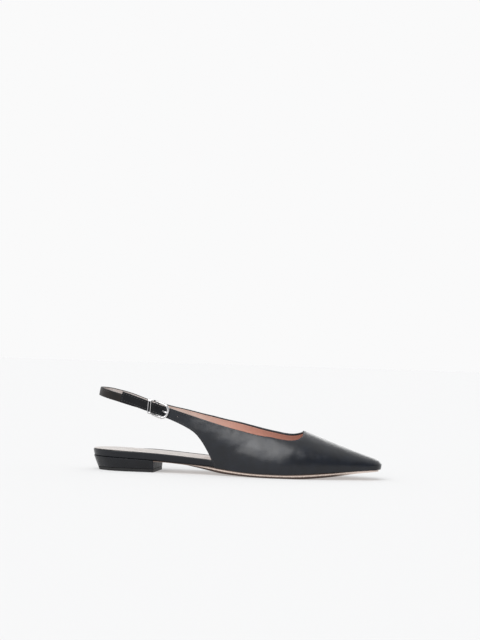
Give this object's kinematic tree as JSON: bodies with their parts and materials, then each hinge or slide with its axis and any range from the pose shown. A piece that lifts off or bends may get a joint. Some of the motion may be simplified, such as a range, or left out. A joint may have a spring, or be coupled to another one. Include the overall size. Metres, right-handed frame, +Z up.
{
  "type": "slingback ballet flat",
  "caption": "Right-foot leather slingback flat with a snipped pointed toe, low block heel, leather sole and a heel strap closed by a side buckle.",
  "frame": {"origin": "on the floor, under the middle of the shoe's box", "axes": "+X from heel to toe, +Y to the medial (inner) side, +Z up"},
  "size_m": [0.268, 0.079, 0.0767],
  "materials": {
    "black_leather": "smooth black leather with a soft sheen",
    "nude_leather": "pale nude sole leather, waxed edge",
    "cream_leather": "matte cream leather",
    "black_rubber": "matte black rubber",
    "silver_metal": "polished silver-coloured metal"
  },
  "bodies": {
    "root": {"upper": "black_leather", "outsole": "nude_leather", "insole": "black_leather", "sock": "cream_leather", "heel_block": "black_leather", "top_lift": "black_rubber", "heel_strap": "black_leather", "buckle_frame": "silver_metal", "buckle_prong": "silver_metal", "buckle_keeper": "silver_metal"}
  },
  "joints": []
}
